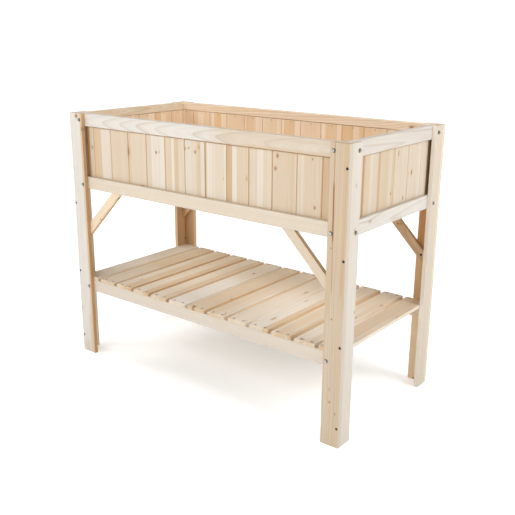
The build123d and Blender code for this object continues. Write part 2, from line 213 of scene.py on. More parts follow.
# Fir's colours
PALE = (0.640, 0.592, 0.522, 1.0)  # sapwood
DARK_BOARD = (0.520, 0.395, 0.262, 1.0)  # sapwood of the darkest boards
LIGHT_BOARD = (0.615, 0.585, 0.542, 1.0)  # and of the lightest
TAN = (0.550, 0.425, 0.288, 1.0)  # heartwood, and painted shade where the heartwood bands carry it
DEEP = (0.400, 0.215, 0.095, 1.0)  # heartwood at its darkest, and the deepest painted shade, beside the legs and under the rails
LATE_WOOD = (0.380, 0.250, 0.150, 1.0)
STREAK = (0.430, 0.275, 0.160, 1.0)
FLECK = (0.280, 0.165, 0.090, 1.0)
# Edge colours: partly a sawn edge's own colour, partly painted shade where browner and painted light
# where paler
BROWN_EDGE_AND_SHADE = (0.92, 0.70, 0.48, 1.0)  # multiplies the face's colour
PALE_EDGE_AND_LIGHT = (0.600, 0.560, 0.500, 1.0)
KNOT_RIM = (0.470, 0.270, 0.115, 1.0)
KNOT_CORE = (0.165, 0.075, 0.028, 1.0)
RESIN = (0.310, 0.130, 0.048, 1.0)
GROOVE_SHADE = (0.460, 0.255, 0.110, 1.0)  # painted shade in the V-grooves between the wall slats
END_GRAIN = (0.86, 0.77, 0.66, 1.0)  # multiplies the face's colour
END_RINGS = (0.360, 0.220, 0.120, 1.0)
NOISE_ROOM = 37.0  # how far apart boards may lie in the noise


def fir_group():
    """Planed fir: rings round a pith, sapwood and heartwood bands, streaks, fibres, knots and end grain,
    with painted shade in the grooves, on some edges and in some heartwood bands.
    """
    t, i, o = group_tree(
        "fir",
        (("Grain", "Vector"), ("Seed", "Float"), ("Tone", "Float"), ("Pith", "Vector"),
         ("Spacing", "Float"), ("Taper", "Float"), ("Bands", "Float"), ("Lines", "Float"),
         ("Core", "Float"), ("Rim", "Float"), ("Bend", "Float"), ("End", "Float"),
         ("Heart", "Float"), ("Resin", "Float"), ("Groove", "Float"), ("Edge", "Float"),
         ("Wander", "Float"), ("Tint", "Vector")),
        (("Color", "Color"), ("Roughness", "Float"), ("Height", "Float")),
    )
    shift = t.vec("SCALE", t.white(i["Seed"])["Color"], NOISE_ROOM)

    def stretched(along, across, detail, rough=0.5):
        place = t.vec("MULTIPLY", i["Grain"], (along, across, across))
        return t.noise(t.vec("ADD", place, shift), 1.0, detail, rough)

    def times(value, amount):
        return t.math("MULTIPLY", value, amount)

    def centred(value, amount):
        return times(t.math("SUBTRACT", value, 0.5), amount)

    # Rings: distance from the pith, with the taper of the trunk and the wander of the grain
    own = t.split(t.vec("SUBTRACT", i["Grain"], i["Pith"]))
    radius = t.vec("LENGTH", t.join(0.0, own[1], own[2]))
    wander = t.total(centred(stretched(1.7, 8.0, 2.0), 0.022), centred(stretched(9.0, 55.0, 2.0), 0.0035))
    radius = t.total(radius, times(own[0], i["Taper"]), times(wander, i["Wander"]), i["Bend"])
    rings = t.math("DIVIDE", radius, i["Spacing"])
    season = t.math("FRACT", rings)
    late = times(t.math("POWER", season, 3.5), t.step(season, 1.0, 0.88))
    strong = t.step(t.white(t.math("FLOOR", rings))["Value"], 0.1, 1.0, "LINEAR", (0.15, 1.3))
    late = times(times(late, strong), i["Lines"])

    # Bands of heartwood in the sapwood follow the rings, with clean edges
    off = t.split(shift)
    broad = t.line_noise(t.math("ADD", times(radius, 48.0), off[0]), 1.0)
    slim = t.line_noise(t.math("ADD", times(radius, 170.0), off[1]), 2.0)
    patch = stretched(1.3, 30.0, 1.5)
    band = t.total(times(broad, 0.55), times(slim, 0.27), times(patch, 0.18), times(i["Tone"], -0.05))
    band = times(t.step(band, 0.43, 0.60), i["Bands"])
    # Chosen bands come in as heartwood and as painted shade
    chosen = times(i["Heart"], t.step(patch, 0.20, 0.60, to=(0.75, 1.10)))
    uneven = times(centred(slim, 1.0), t.math("ADD", i["Bands"], 0.35))
    band = t.math("MAXIMUM", t.math("ADD", t.math("MAXIMUM", band, chosen), uneven), 0.0)

    streak = stretched(2.2, 190.0, 3.0, 0.6)
    fibre = stretched(30.0, 1400.0, 2.0, 0.6)
    cloud = stretched(5.0, 14.0, 2.0)
    fleck = t.step(stretched(55.0, 900.0, 1.0), 0.70, 0.80)

    # The clean board
    dark = t.step(i["Tone"], 0.0, -1.0, "LINEAR")
    light = t.step(i["Tone"], 0.0, 1.0, "LINEAR")
    colour = t.mix(times(dark, 0.45), PALE, DARK_BOARD)
    colour = t.mix(times(light, 0.65), colour, LIGHT_BOARD)
    colour = t.mix(t.math("MINIMUM", band, 1.0), colour, TAN)
    colour = t.mix(t.math("SUBTRACT", band, 1.0, clamp=True), colour, DEEP)
    colour = t.mix(times(late, 0.55), colour, LATE_WOOD)
    colour = t.mix(times(t.step(streak, 0.60, 0.78), 0.28), colour, STREAK)
    colour = t.mix(times(fleck, 0.18), colour, FLECK)
    shade = t.total(1.0, centred(streak, 0.20), centred(fibre, 0.08), centred(cloud, 0.08))
    colour = t.tinted(colour, t.join(shade, shade, shade))

    # Edges can be browner or paler than the face, partly as sawn edges and partly as painted shade and
    # painted light; a board can have a tint of its own, which stands partly for painted light and shade
    colour = t.mix(t.math("ADD", i["Edge"], 0.0, clamp=True), colour, t.tinted(colour, BROWN_EDGE_AND_SHADE))
    colour = t.mix(t.math("MULTIPLY", i["Edge"], -1.0, clamp=True), colour, PALE_EDGE_AND_LIGHT)
    # Brighter still where the edge weight is below -1: painted light
    edge_painted_light = t.math("MAXIMUM", times(i["Edge"], -1.0), 1.0)
    colour = t.tinted(colour, t.join(edge_painted_light, edge_painted_light, edge_painted_light))
    colour = t.tinted(colour, i["Tint"])

    # Knots, resin, painted shade in the grooves, and end grain
    colour = t.mix(times(i["Rim"], 0.60), colour, KNOT_RIM)
    colour = t.mix(times(i["Core"], 0.90), colour, KNOT_CORE)
    colour = t.mix(i["Resin"], colour, RESIN)
    colour = t.mix(i["Groove"], colour, GROOVE_SHADE)
    ended = t.mix(times(late, 0.45), t.tinted(colour, END_GRAIN), END_RINGS)
    t.plug(o["Color"], t.mix(i["End"], colour, ended))

    rough = t.total(0.66, centred(streak, 0.20), times(late, -0.10), times(i["Core"], -0.18))
    t.plug(o["Roughness"], t.math("ADD", rough, times(i["End"], 0.12), clamp=True))
    height = t.total(times(late, 0.50), times(fibre, 0.60), times(streak, 0.40), times(fleck, -0.25))
    t.plug(o["Height"], t.math("ADD", height, times(i["Core"], 0.4)))
    return t.tree


KNOT = knot_group()
FIR = fir_group()

# How far a face's normal points a way: where that starts to count, and where it counts fully
LOOKING = (0.5, 0.9)
SQUARE = (0.80, 0.95)

# Painted shade on the walls under the top rail and over the bottom rail, as (height from, to, softness,
# amount), outside only
WALL_SHADE = ((0.7580, 0.780, 0.002, 1.8), (0.580, 0.6035, 0.003, 0.9))
GROOVE_EDGE = (2.0 * MM, 0.6 * MM)  # from a slat's edge: where the groove's painted shade starts and is full
SLAT_SEED = 3.17  # from one slat's seed to the next
MORE_LUCK = 9.7  # from a slat's seed to its second draws

# Tints of boards and of faces. They stand partly for a board's own colour and partly for light
# that reaches it and that the lamps here don't give.
PLAIN = (1.0, 1.0, 1.0)
OUTDOORS = (0.98, 0.96, 0.93)  # the front and right walls
INDOORS = (1.25, 1.12, 0.98)  # the walls inside the trough, and its floor
REAR = (1.14, 1.06, 0.95)  # what faces back and left
SHADED = (1.03, 0.89, 0.73)  # back braces, and the back left leg's inner faces
SHELF = (1.16, 1.21, 1.26)


def slat_inputs(t, place, seed, wall):
    """Figure drawn for each slat of a wall, and the place across the slat."""
    axis, start, way, _ = wall
    along = t.math("SUBTRACT", t.split(place)["XYZ".index(axis)], start)
    count = t.math("DIVIDE", t.math("MULTIPLY", along, way), PITCH)
    number = t.math("ADD", t.math("MULTIPLY", t.math("FLOOR", count), SLAT_SEED), seed)
    part = t.math("FRACT", count)
    edge = t.math("MULTIPLY", t.math("MINIMUM", part, t.math("SUBTRACT", 1.0, part)), PITCH)
    luck = t.draws(number)
    more = t.draws(t.math("ADD", number, MORE_LUCK))

    def drawn(number, low, high):
        return t.step(number, 0.0, 1.0, "LINEAR", (low, high))

    inputs = {
        "Seed": number,
        "Tone": drawn(luck[0], -0.5, 0.5),
        "Pith": t.join(0.0, drawn(luck[1], -0.14, 0.14), drawn(luck[2], 0.020, 0.060)),
        "Taper": drawn(more[0], -0.010, 0.010),
        "Spacing": drawn(more[1], 0.0045, 0.0080),
        "Groove": t.step(edge, *GROOVE_EDGE, to=(0.0, 0.75)),
    }
    return inputs, t.math("MULTIPLY", t.math("SUBTRACT", part, 0.5), PITCH)


def knot_masks(t, spots, knots):
    """What all the knots of a board make together."""
    masks = {"Core": 0.0, "Rim": 0.0, "Bend": 0.0}
    for along, across, radius, stretch, dark in knots:
        shape = {"Place": spots, "At": (along, across, 0.0), "Radius": radius, "Stretch": stretch}
        knot = t.new("ShaderNodeGroup", {**shape, "Dark": dark, **masks}, node_tree=KNOT)
        masks = {key: knot.outputs[key] for key in masks}
    return masks


def heart_and_shade_mask(t, own, heart_and_shade):
    """The strongest of the heartwood bands over a place, some of them painted shade."""
    strongest = 0.0
    for low, high, soft, amount, *along in heart_and_shade:
        mask = t.math("MULTIPLY", t.between(own[1], low, high, soft), amount)
        if along:
            mask = t.math("MULTIPLY", mask, t.between(own[0], *along))
        strongest = t.math("MAXIMUM", strongest, mask)
    return strongest


def resin_mask(t, own, resin):
    """Thin lines that run along the grain and sway a little."""
    strongest = 0.0
    for low, high, start, lean, wide, amount in resin:
        sway = t.noise(t.join(t.math("MULTIPLY", own[0], 16.0), 0.0, 0.0), 1.0, 3.0)
        sway = t.math("MULTIPLY", t.math("SUBTRACT", sway, 0.5), 3 * MM)
        line = t.total(t.math("MULTIPLY", own[0], lean), start, sway)
        off = t.math("ABSOLUTE", t.math("SUBTRACT", own[1], line))
        mask = t.math("MULTIPLY", t.between(own[0], low, high, 0.03), t.step(off, wide, wide * 0.3))
        strongest = t.math("MAXIMUM", strongest, t.math("MULTIPLY", mask, amount))
    return strongest


def fir(name, lay, centre, seed, tone=0.0, pith=(0.0, 0.06), taper=0.0, spacing=0.0045,
        bands=1.0, lines=1.0, wander=0.6, tint=PLAIN, edges=(0.0, 0.0),
        inside=None, knots=(), heart_and_shade=(), resin=(), wall=None):
    """Fir for one board, or for a whole wall when wall says how its slats run.

    wall is (axis the slats are counted along, start, way, which way is out). When inside gives
    a way through the thickness, only faces looking that way take the tint and the heartwood, which
    there stand for painted light and painted shade.
    """
    material, t, shader = new_material(f"fir_{name}")
    place = t.new("ShaderNodeTexCoord").outputs["Object"]
    parts = lie(t, t.vec("SUBTRACT", place, tuple(centre)), lay)
    spots = t.join(*parts)
    own = t.split(spots)
    inputs = {
        "Seed": seed, "Tone": tone, "Pith": (0.0, *pith), "Taper": taper, "Spacing": spacing,
        "Bands": bands, "Lines": lines, "Wander": wander, "Tint": tint,
        "Heart": heart_and_shade_mask(t, own, heart_and_shade), "Resin": resin_mask(t, own, resin),
        **knot_masks(t, spots, knots),
    }
    facing = lie(t, t.new("ShaderNodeNewGeometry").outputs["True Normal"], lay)
    if wall:
        figure, parts[1] = slat_inputs(t, place, seed, wall)
        inputs.update(figure)
        outside = t.step(t.math("MULTIPLY", facing[2], wall[3]), *LOOKING)
        inputs["Tint"] = t.mix(outside, (*INDOORS, 1.0), (*tint, 1.0))
        # painted shade under the top rail and over the bottom rail, on outer faces only
        for low, high, soft, amount in WALL_SHADE:
            mask = t.between(t.split(place)[2], low, high, soft)
            mask = t.math("MULTIPLY", t.math("MULTIPLY", mask, amount), outside)
            inputs["Heart"] = t.math("MAXIMUM", inputs["Heart"], mask)
    if inside is not None:
        within = t.step(t.math("MULTIPLY", facing[2], inside), *LOOKING)
        inputs["Heart"] = t.math("MULTIPLY", inputs["Heart"], within)
        inputs["Tint"] = t.mix(within, (*REAR, 1.0), (*tint, 1.0))
    sides = [t.step(facing[1], SQUARE[0] * way, SQUARE[1] * way) for way in (-1.0, 1.0)]
    inputs["Edge"] = t.total(*(t.math("MULTIPLY", side, amount) for side, amount in zip(sides, edges)))
    inputs["End"] = t.step(t.math("ABSOLUTE", facing[0]), *SQUARE)
    inputs["Grain"] = t.join(*parts)
    wood = t.new("ShaderNodeGroup", inputs, node_tree=FIR).outputs
    bump = t.new("ShaderNodeBump", {"Strength": 0.5, "Distance": 0.5 * MM, "Height": wood["Height"]})
    shader.inputs["Specular IOR Level"].default_value = 0.14
    t.plug(shader.inputs["Base Color"], wood["Color"])
    t.plug(shader.inputs["Roughness"], wood["Roughness"])
    t.plug(shader.inputs["Normal"], bump.outputs[0])
    return material


# Knots as (along the grain, across it, radius, stretch, darkness), in metres in the shared frame
KNOTS = {
    "leg_front_right_face_board": (
        (0.541, 0.468, 0.0022, 1.0, 0.6), (0.356, 0.477, 0.0019, 1.2, 0.95),
        (0.126, 0.480, 0.0022, 1.5, 0.85), (0.162, 0.4785, 0.0022, 2.6, 0.35),
        (0.097, 0.498, 0.0022, 2.2, 0.55),
    ),
    "leg_front_right_side_board": (
        (0.697, -0.221, 0.0022, 2.6, 0.40), (0.583, -0.219, 0.0036, 2.0, 0.60),
        (0.368, -0.204, 0.0024, 1.8, 0.55),
    ),
    "leg_front_left_face_board": (
        (0.7915, -0.478, 0.0050, 1.3, 1.0), (0.153, -0.509, 0.0030, 1.8, 0.5),
        (0.752, -0.457, 0.0030, 3.0, 0.5),
    ),
    "leg_back_right_side_board": ((0.675, 0.252, 0.0050, 2.0, 0.45),),
    "leg_back_right_face_board": (
        (0.443, 0.464, 0.0028, 1.0, 1.0), (0.006, 0.476, 0.0022, 1.0, 0.9),
    ),
    "leg_back_left_side_board": (
        (0.386, 0.2305, 0.0030, 1.2, 1.0), (0.291, 0.2380, 0.0030, 1.4, 1.0),
    ),
    "leg_back_left_face_board": ((0.505, -0.490, 0.0030, 1.5, 0.5),),
    "rail_bottom_right": ((-0.124, 0.588, 0.0048, 1.6, 0.38),),
    "rail_top_back": ((0.423, 0.786, 0.0050, 1.6, 0.75), (0.320, 0.773, 0.0020, 5.0, 0.45)),
    "brace_back_right": ((-0.0714, -0.630, 0.0028, 1.5, 0.9), (-0.0644, -0.6373, 0.0024, 1.5, 0.7)),
    "brace_front_left": ((0.155, 0.6131, 0.0032, 2.2, 0.75), (0.046, 0.620, 0.0022, 1.6, 0.6)),
    "shelf_slat_03": ((-0.158, -0.316, 0.0022, 1.6, 0.5),),
    "shelf_slat_05": ((-0.146, -0.193, 0.0028, 2.0, 0.9), (-0.126, -0.113, 0.0036, 1.4, 1.0)),
    "shelf_slat_06": ((0.120, -0.070, 0.0042, 1.4, 0.95),),
    "shelf_slat_07": ((-0.238, -0.011, 0.0045, 1.8, 0.95), (-0.116, 0.030, 0.0030, 1.8, 0.5)),
    "shelf_slat_08": ((-0.226, 0.098, 0.0040, 2.4, 0.35),),
    "shelf_slat_09": ((0.074, 0.174, 0.0044, 2.4, 0.50), (-0.229, 0.178, 0.0030, 1.3, 0.55)),
    "shelf_slat_10": ((-0.165, 0.228, 0.0046, 3.0, 0.50), (0.012, 0.217, 0.0040, 2.4, 0.35)),
    "shelf_slat_11": ((-0.236, 0.270, 0.0055, 1.6, 0.80),),
    "shelf_slat_12": (
        (-0.111, 0.350, 0.0042, 1.8, 0.65), (-0.012, 0.405, 0.0030, 2.2, 0.50),
        (-0.236, 0.376, 0.0040, 1.4, 0.65), (0.122, 0.412, 0.0034, 2.0, 0.5),
    ),
    "shelf_slat_13": ((-0.218, 0.440, 0.0040, 1.5, 0.5), (0.068, 0.494, 0.0024, 1.6, 0.4)),
    "wall_slats_front": (
        (0.700, -0.452, 0.0030, 1.8, 0.55), (0.696, -0.436, 0.0034, 1.8, 0.60),
        (0.700, -0.272, 0.0045, 3.6, 0.75), (0.709, -0.155, 0.0032, 1.3, 0.95),
        (0.711, -0.142, 0.0030, 1.6, 0.25), (0.732, -0.038, 0.0028, 1.4, 0.60),
        (0.735, -0.025, 0.0028, 1.3, 0.55), (0.726, -0.001, 0.0034, 1.6, 0.70),
        (0.741, 0.013, 0.0030, 2.2, 0.45), (0.675, 0.183, 0.0022, 3.4, 0.45),
        (0.603, -0.216, 0.0110, 0.35, 0.42), (0.746, 0.283, 0.0042, 1.4, 0.70),
        (0.713, 0.277, 0.0044, 1.4, 0.65), (0.749, 0.391, 0.0022, 1.4, 0.70),
        (0.628, 0.401, 0.0032, 1.6, 0.70), (0.664, 0.101, 0.0018, 1.6, 0.40),
    ),
    "wall_slats_right": (
        (0.742, 0.028, 0.0036, 2.6, 0.45), (0.680, 0.109, 0.0040, 2.0, 0.75),
        (0.679, 0.091, 0.0018, 1.4, 0.60), (0.639, -0.005, 0.0026, 1.5, 0.80),
        (0.616, 0.066, 0.0030, 1.9, 0.80),
    ),
    "wall_slats_back": (
        (0.700, 0.330, 0.0036, 1.6, 0.6), (0.720, 0.105, 0.0030, 1.5, 0.6),
        (0.640, -0.210, 0.0040, 1.8, 0.7),
    ),
    "wall_slats_left": ((0.690, 0.060, 0.0034, 1.6, 0.7), (0.630, -0.120, 0.0030, 1.6, 0.6)),
}
# Boards whose figure is chosen rather than drawn by lot. The heartwood bands, which on the back
# legs' inner faces are painted shade, are (across from, to, softness, amount) and may add (along
# from, to, softness). Resin is (along from, to, across at RESIN_Z, lean, width, amount). Edges are
# the faces looking down and up the board's width: browner above 0, paler below it, and brighter
# still below -1; the browner edges are partly painted shade, the paler ones partly painted light,
# and the brighter still are painted light. A tint here, like the tints above, stands partly for
# painted light and shade.
RESIN_Z = 0.62
LOOKS = {
    "leg_front_right_face_board": dict(
        tone=-0.7, pith=(0.090, 0.030), taper=0.003, spacing=0.0062, bands=0.70, lines=0.50,
        wander=0.3, tint=(0.90, 0.86, 0.81), edges=(0.0, -1.0),
        heart_and_shade=(
            (0.496, 0.505, 0.002, 0.95, 0.44, 0.80, 0.08),
            (0.483, 0.4905, 0.002, 0.80, 0.50, 0.80, 0.08),
            (0.460, 0.468, 0.003, 0.80, 0.40, 0.80, 0.10),
            (0.456, 0.508, 0.004, 0.10, 0.0, 0.42, 0.10),
            (0.456, 0.508, 0.004, 0.40, 0.42, 0.80, 0.10),
        ),
        resin=(
            (0.57, 0.69, 0.4706, -0.011, 0.0034, 1.0), (0.44, 0.797, 0.4708, -0.011, 0.0018, 0.60),
        ),
    ),
    "leg_front_right_side_board": dict(
        tone=0.9, pith=(0.12, 0.05), bands=0.12, lines=0.20, wander=0.3, tint=(0.97, 0.945, 0.925),
    ),
    "leg_front_left_face_board": dict(
        tone=0.9, pith=(-0.11, 0.05), bands=0.08, lines=0.20, tint=(0.97, 0.96, 0.955),
        edges=(0.0, 1.0),
        heart_and_shade=(
            (-0.4600, -0.450, 0.006, 1.0), (-0.470, -0.450, 0.006, 0.45, 0.0, 0.12, 0.05),
            (-0.500, -0.480, 0.006, 0.5, 0.0, 0.03, 0.02),
        ),
    ),
    "leg_front_left_side_board": dict(tone=0.3, bands=0.3, lines=0.4),
    # The side board's edge looking forward is brightened: painted light
    "leg_back_right_side_board": dict(
        tone=0.0, pith=(0.10, 0.04), bands=0.35, lines=0.3, wander=0.4, tint=(0.95, 0.92, 0.88),
        edges=(-1.28, 0.0),
    ),
    # Inner face of the back right leg: its tint is painted light, and its heartwood bands are painted
    # shade, darkest high up under the trough
    "leg_back_right_face_board": dict(
        tone=0.1, bands=0.4, lines=0.4, tint=(1.32, 1.19, 1.02), inside=-1.0, edges=(0.5, -1.0),
        heart_and_shade=(
            (0.450, 0.500, 0.002, 1.75, 0.42, 0.60, 0.05),
            (0.450, 0.500, 0.002, 1.2, 0.26, 0.42, 0.04),
            (0.450, 0.500, 0.002, 0.7, 0.0, 0.26, 0.05),
        ),
    ),
    # The back left leg's inner faces: their tint and heartwood are painted shade
    "leg_back_left_face_board": dict(
        tone=-0.2, bands=0.5, lines=0.5, tint=SHADED, inside=-1.0, edges=(0.0, 0.7),
        heart_and_shade=((-0.6, -0.4, 0.01, 1.1),),
    ),
    "leg_back_left_side_board": dict(
        tone=0.2, bands=0.4, lines=0.5, tint=SHADED, inside=1.0, edges=(0.8, 0.0),
        heart_and_shade=((0.1, 0.3, 0.01, 1.3),),
    ),
    "rail_top_front": dict(
        tone=0.9, pith=(-0.004, 0.018), taper=-0.085, spacing=0.0068, bands=0.06, lines=0.95,
        tint=(0.97, 0.97, 0.975),
        heart_and_shade=(
            (0.755, 0.768, 0.004, 0.9, 0.20, 0.46, 0.10),
            (0.755, 0.81, 0.01, 0.55, 0.14, 0.46, 0.12),
        ),
    ),
    "rail_bottom_front": dict(
        tone=-0.1, pith=(0.060, 0.020), taper=0.012, spacing=0.0060, bands=0.40, lines=0.35,
        heart_and_shade=((0.55, 0.62, 0.01, 0.40),),
    ),
    "rail_top_right": dict(
        tone=0.9, pith=(-0.010, 0.016), taper=0.050, spacing=0.0110, bands=0.08, lines=1.1,
        tint=(0.94, 0.92, 0.92),
    ),
    "rail_bottom_right": dict(
        tone=1.0, pith=(-0.008, 0.020), taper=-0.060, spacing=0.0120, bands=0.08, lines=1.1,
    ),
    "rail_top_back": dict(
        tone=-0.2, pith=(0.030, 0.020), taper=0.03, bands=0.7, lines=0.9, tint=(1.28, 1.20, 1.10),
    ),
    "rail_top_left": dict(tone=0.0, pith=(0.010, 0.020), taper=0.05, bands=0.5, lines=0.7),
    "shelf_rail_front": dict(
        tone=0.2, pith=(0.05, 0.030), taper=0.03, spacing=0.0060, bands=0.25, lines=0.30,
        tint=(0.95, 0.94, 0.94),
        heart_and_shade=((0.21, 0.27, 0.01, 0.25), (0.236, 0.27, 0.01, 0.35, 0.08, 0.11, 0.06)),
    ),
    # The back braces are dark and warm: painted shade
    "brace_back_right": dict(tone=-1.0, bands=1.0, lines=0.5, tint=SHADED),
    "brace_back_left": dict(tone=-1.0, bands=1.0, lines=0.5, tint=SHADED),
    "brace_front_right": dict(
        tone=-0.4, pith=(0.06, 0.03), bands=0.7, lines=0.5, wander=0.2, tint=(1.0, 0.96, 0.90),
        edges=(0.7, 0.7),
    ),
    "brace_front_left": dict(tone=-0.3, bands=0.6, lines=0.5, wander=0.2, edges=(0.6, 0.3)),
    "shelf_slat_01": dict(tone=-0.1, edges=(0.0, 0.35)),
    "shelf_slat_02": dict(
        tone=-0.6, edges=(0.0, 0.55),
        heart_and_shade=((-0.43, -0.35, 0.006, 1.0, 0.0, 0.26, 0.12),),
    ),
    "shelf_slat_03": dict(
        tone=-0.2, edges=(0.0, 0.8),
        heart_and_shade=((-0.31, -0.27, 0.008, 0.9), (-0.34, -0.26, 0.006, 0.7, 0.10, 0.26, 0.10)),
    ),
    "shelf_slat_04": dict(
        tone=-0.3, edges=(0.0, 1.0),
        heart_and_shade=((-0.22, -0.19, 0.010, 1.0), (-0.26, -0.19, 0.006, 0.7, 0.12, 0.26, 0.10)),
    ),
    "shelf_slat_05": dict(tone=0.0, edges=(0.0, 0.75), heart_and_shade=((-0.145, -0.11, 0.010, 0.9),)),
    "shelf_slat_06": dict(tone=0.8, bands=0.2, lines=0.3, edges=(0.0, 0.15)),
    "shelf_slat_07": dict(
        tone=-0.7, bands=0.6, lines=0.4, edges=(0.0, 0.8),
        heart_and_shade=((-0.04, 0.04, 0.004, 0.8),),
    ),
    "shelf_slat_08": dict(tone=0.1, edges=(0.0, 0.65), heart_and_shade=((0.04, 0.080, 0.004, 0.6),)),
    "shelf_slat_09": dict(tone=0.0, edges=(0.0, 0.2)),
    "shelf_slat_10": dict(
        tone=0.4, bands=0.5, edges=(0.0, 0.7),
        heart_and_shade=((0.250, 0.275, 0.006, 0.9),),
    ),
    "shelf_slat_11": dict(
        tone=-0.2, edges=(0.0, 0.5),
        heart_and_shade=((0.290, 0.325, 0.003, 0.7), (0.335, 0.355, 0.006, 1.1)),
    ),
    "shelf_slat_12": dict(
        tone=0.7, bands=0.35, lines=0.5, tint=(1.16, 1.16, 1.14), edges=(0.0, 0.5),
        heart_and_shade=((0.395, 0.410, 0.006, 0.6),),
    ),
    "shelf_slat_13": dict(
        tone=-0.1, pith=(-0.08, 0.03), bands=0.4, lines=0.4, tint=(1.16, 1.13, 1.09),
        edges=(0.0, -0.4),
        heart_and_shade=((0.430, 0.478, 0.004, 0.7),),
    ),
}
# Tan bands of the four walls, as (from, to, softness, amount). The darkest bands at the two ends of the
# front wall and the last band of the right wall are painted shade in the pockets beside the legs.
WALL_BANDS = {
    "front": (
        (-0.460, -0.449, 0.003, 1.8), (-0.450, -0.430, 0.002, 0.60), (-0.428, -0.395, 0.002, 0.90),
        (-0.395, -0.353, 0.004, 0.20), (-0.351, -0.330, 0.003, 0.50), (-0.330, -0.275, 0.006, 0.60),
        (-0.274, -0.262, 0.003, 0.75), (-0.262, -0.198, 0.004, 0.45), (-0.196, -0.176, 0.004, 0.60),
        (-0.120, -0.094, 0.002, 0.60), (-0.081, -0.067, 0.002, 1.00), (-0.067, -0.046, 0.004, 0.50),
        (-0.042, 0.033, 0.001, 0.22), (-0.015, 0.003, 0.003, 0.45), (0.003, 0.018, 0.002, 0.75),
        (0.033, 0.040, 0.001, 1.20), (0.072, 0.103, 0.004, 0.40), (0.112, 0.132, 0.0015, 1.25),
        (0.150, 0.189, 0.003, 0.65), (0.191, 0.217, 0.003, 0.50), (0.239, 0.265, 0.003, 0.55),
        (0.266, 0.288, 0.002, 0.70), (0.290, 0.339, 0.002, 0.75), (0.345, 0.356, 0.002, 0.45),
        (0.366, 0.419, 0.003, 0.60), (0.421, 0.443, 0.001, 1.10), (0.443, 0.460, 0.003, 1.70),
    ),
    "right": (
        (-0.200, -0.158, 0.002, 0.55), (-0.1565, -0.1495, 0.001, 1.70),
        (-0.147, -0.121, 0.003, 0.60), (-0.103, -0.080, 0.003, 0.40), (-0.079, -0.072, 0.001, 1.15),
        (-0.071, -0.024, 0.004, 0.75), (-0.024, -0.004, 0.003, 0.45), (-0.004, 0.002, 0.001, 1.00),
        (0.002, 0.013, 0.004, 0.65), (0.013, 0.029, 0.005, 0.30), (0.084, 0.120, 0.003, 0.45),
        (0.120, 0.149, 0.003, 0.35), (0.2020, 0.224, 0.002, 2.0),
    ),
    "back": (
        (-0.470, -0.410, 0.003, 0.60), (-0.380, -0.345, 0.004, 0.45), (-0.330, -0.300, 0.003, 0.85),
        (-0.265, -0.205, 0.004, 0.40), (-0.190, -0.150, 0.003, 0.70), (-0.110, -0.060, 0.004, 0.50),
        (-0.030, 0.010, 0.003, 0.80), (0.040, 0.110, 0.004, 0.45), (0.130, 0.170, 0.003, 0.70),
        (0.190, 0.228, 0.003, 0.95), (0.250, 0.290, 0.003, 0.80), (0.292, 0.350, 0.003, 0.60),
        (0.370, 0.430, 0.004, 0.90), (0.440, 0.475, 0.003, 0.75),
    ),
    "left": (
        (-0.215, -0.180, 0.003, 0.65), (-0.150, -0.110, 0.004, 0.45), (-0.070, -0.030, 0.003, 0.75),
        (-0.010, 0.045, 0.004, 0.45), (0.080, 0.110, 0.003, 0.80), (0.135, 0.190, 0.004, 0.55),
    ),
}


def placed(marks, middle):
    """Marks given in the shared frame, measured from the board's middle instead."""
    return [(along - middle[0], across - middle[1], *rest) for along, across, *rest in marks]


def set_in(bands, middle):
    """The same for heartwood bands."""
    near = []
    for low, high, soft, amount, *along in bands:
        if along:
            along = (along[0] - middle[0], along[1] - middle[0], along[2])
        near.append((low - middle[1], high - middle[1], soft, amount, *along))
    return near


def lined_up(lines, middle):
    """The same for lines of resin."""
    return [
        (low - middle[0], high - middle[0], at - middle[1] + lean * (middle[0] - RESIN_Z), lean, *rest)
        for low, high, at, lean, *rest in lines
    ]


BRACE_REACH = (0.12, 0.012)  # how far along and across a brace its own knots may lie
NAIL_MARK = (3.6 * MM, 1.0, 0.6)  # radius, stretch and darkness of the mark round a nail
SHELF_BACK_SHADE = (0.10, 0.26, 0.14)  # painted shade, browner towards the back: from, to and softness along a slat


def usual_tint(node):
    if node.startswith("shelf_slat"):
        return SHELF
    if "_back" in node or node.endswith("_left") or node == "leg_front_left_side_board":
        return REAR
    return INDOORS if node.startswith("floor_") else PLAIN


